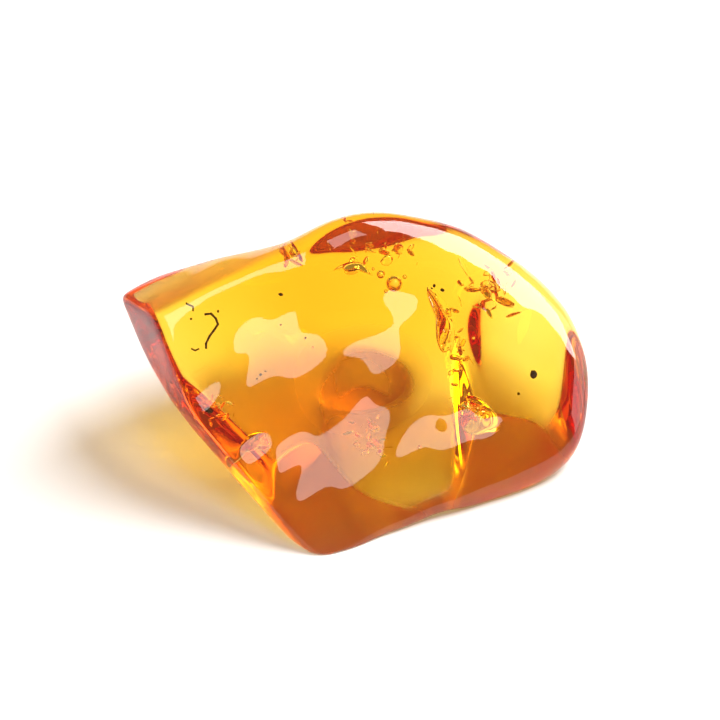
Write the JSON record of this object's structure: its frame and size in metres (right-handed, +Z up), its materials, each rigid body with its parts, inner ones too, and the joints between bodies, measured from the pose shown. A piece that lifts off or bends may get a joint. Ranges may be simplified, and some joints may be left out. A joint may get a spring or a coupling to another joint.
{
  "type": "raw amber piece",
  "caption": "Tumbled lump of clear honey-coloured amber with rounded facets, one crisp ridge and a hollowed underside that rests on small flats.",
  "frame": {"origin": "centre of the lump's bounding box, on the surface that it rests on", "axes": "+X along the length, from the thin tip towards the round end; +Y from the broad front face towards the back; +Z up"},
  "size_m": [0.0402, 0.0294, 0.0177],
  "materials": {
    "amber": "tumbled and polished clear fossil resin, honey yellow to orange"
  },
  "bodies": {
    "root": {"amber_piece": "amber"}
  },
  "joints": []
}
